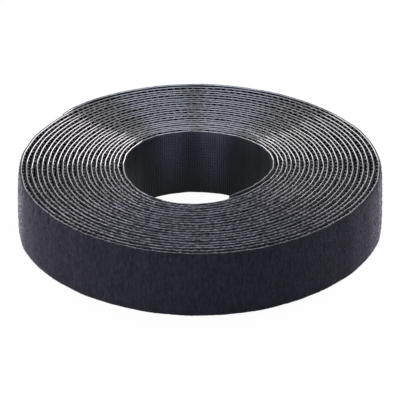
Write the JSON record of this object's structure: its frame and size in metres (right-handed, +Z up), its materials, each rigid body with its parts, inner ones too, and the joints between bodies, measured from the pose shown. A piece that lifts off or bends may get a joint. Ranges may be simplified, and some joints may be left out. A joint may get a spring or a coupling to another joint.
{
  "type": "hook and loop tape roll",
  "caption": "Coreless roll of back-to-back hook and loop tape: soft loops face out, moulded hooks face the open bore, and both loose ends of the tape bend away from the roll.",
  "frame": {"origin": "on the roll's axis, in the plane that the roll stands on", "axes": "+Z up along the roll's axis, +X to the right and +Y away from the viewer in the picture"},
  "size_m": [0.1041, 0.1049, 0.02],
  "materials": {
    "hook_film": "satin moulded film with hooks",
    "loop_fabric": "napped loop pile"
  },
  "bodies": {
    "roll": {"wound_hook_film": "hook_film", "wound_loop_fabric": "loop_fabric"},
    "tail_1": {"tail_1_hook_film": "hook_film", "tail_1_loop_fabric": "loop_fabric"},
    "tail_2": {"tail_2_hook_film": "hook_film", "tail_2_loop_fabric": "loop_fabric"},
    "tail_3": {"tail_3_hook_film": "hook_film", "tail_3_loop_fabric": "loop_fabric"},
    "tail_4": {"tail_4_hook_film": "hook_film", "tail_4_loop_fabric": "loop_fabric"},
    "tail_5": {"tail_5_hook_film": "hook_film", "tail_5_loop_fabric": "loop_fabric"},
    "tongue_1": {"tongue_1_hook_film": "hook_film", "tongue_1_loop_fabric": "loop_fabric"},
    "tongue_2": {"tongue_2_hook_film": "hook_film", "tongue_2_loop_fabric": "loop_fabric"},
    "tongue_3": {"tongue_3_hook_film": "hook_film", "tongue_3_loop_fabric": "loop_fabric"}
  },
  "joints": [
    {"name": "tail_1_peel", "type": "hinge", "parent": "roll", "child": "tail_1", "pos_m": [0.02508, 0.04524, 0.01], "axis": [0, 0, -1], "range_deg": [0, 60]},
    {"name": "tail_2_peel", "type": "hinge", "parent": "tail_1", "child": "tail_2", "pos_m": [0.01258, 0.05047, 0.01], "axis": [0, 0, -1], "range_deg": [0, 60]},
    {"name": "tail_3_peel", "type": "hinge", "parent": "tail_2", "child": "tail_3", "pos_m": [-0.00091, 0.05238, 0.01], "axis": [0, 0, -1], "range_deg": [0, 60]},
    {"name": "tail_4_peel", "type": "hinge", "parent": "tail_3", "child": "tail_4", "pos_m": [-0.01449, 0.05054, 0.01], "axis": [0, 0, -1], "range_deg": [0, 60]},
    {"name": "tail_5_peel", "type": "hinge", "parent": "tail_4", "child": "tail_5", "pos_m": [-0.02705, 0.04502, 0.01], "axis": [0, 0, -1], "range_deg": [0, 60]},
    {"name": "tongue_1_bend", "type": "hinge", "parent": "roll", "child": "tongue_1", "pos_m": [0.02033, 0.01084, 0.01], "axis": [0, 0, -1], "range_deg": [0, 45]},
    {"name": "tongue_2_bend", "type": "hinge", "parent": "tongue_1", "child": "tongue_2", "pos_m": [0.02149, -0.0007, 0.01], "axis": [0, 0, -1], "range_deg": [0, 45]},
    {"name": "tongue_3_bend", "type": "hinge", "parent": "tongue_2", "child": "tongue_3", "pos_m": [0.01654, -0.0103, 0.01], "axis": [0, 0, -1], "range_deg": [0, 45]}
  ]
}
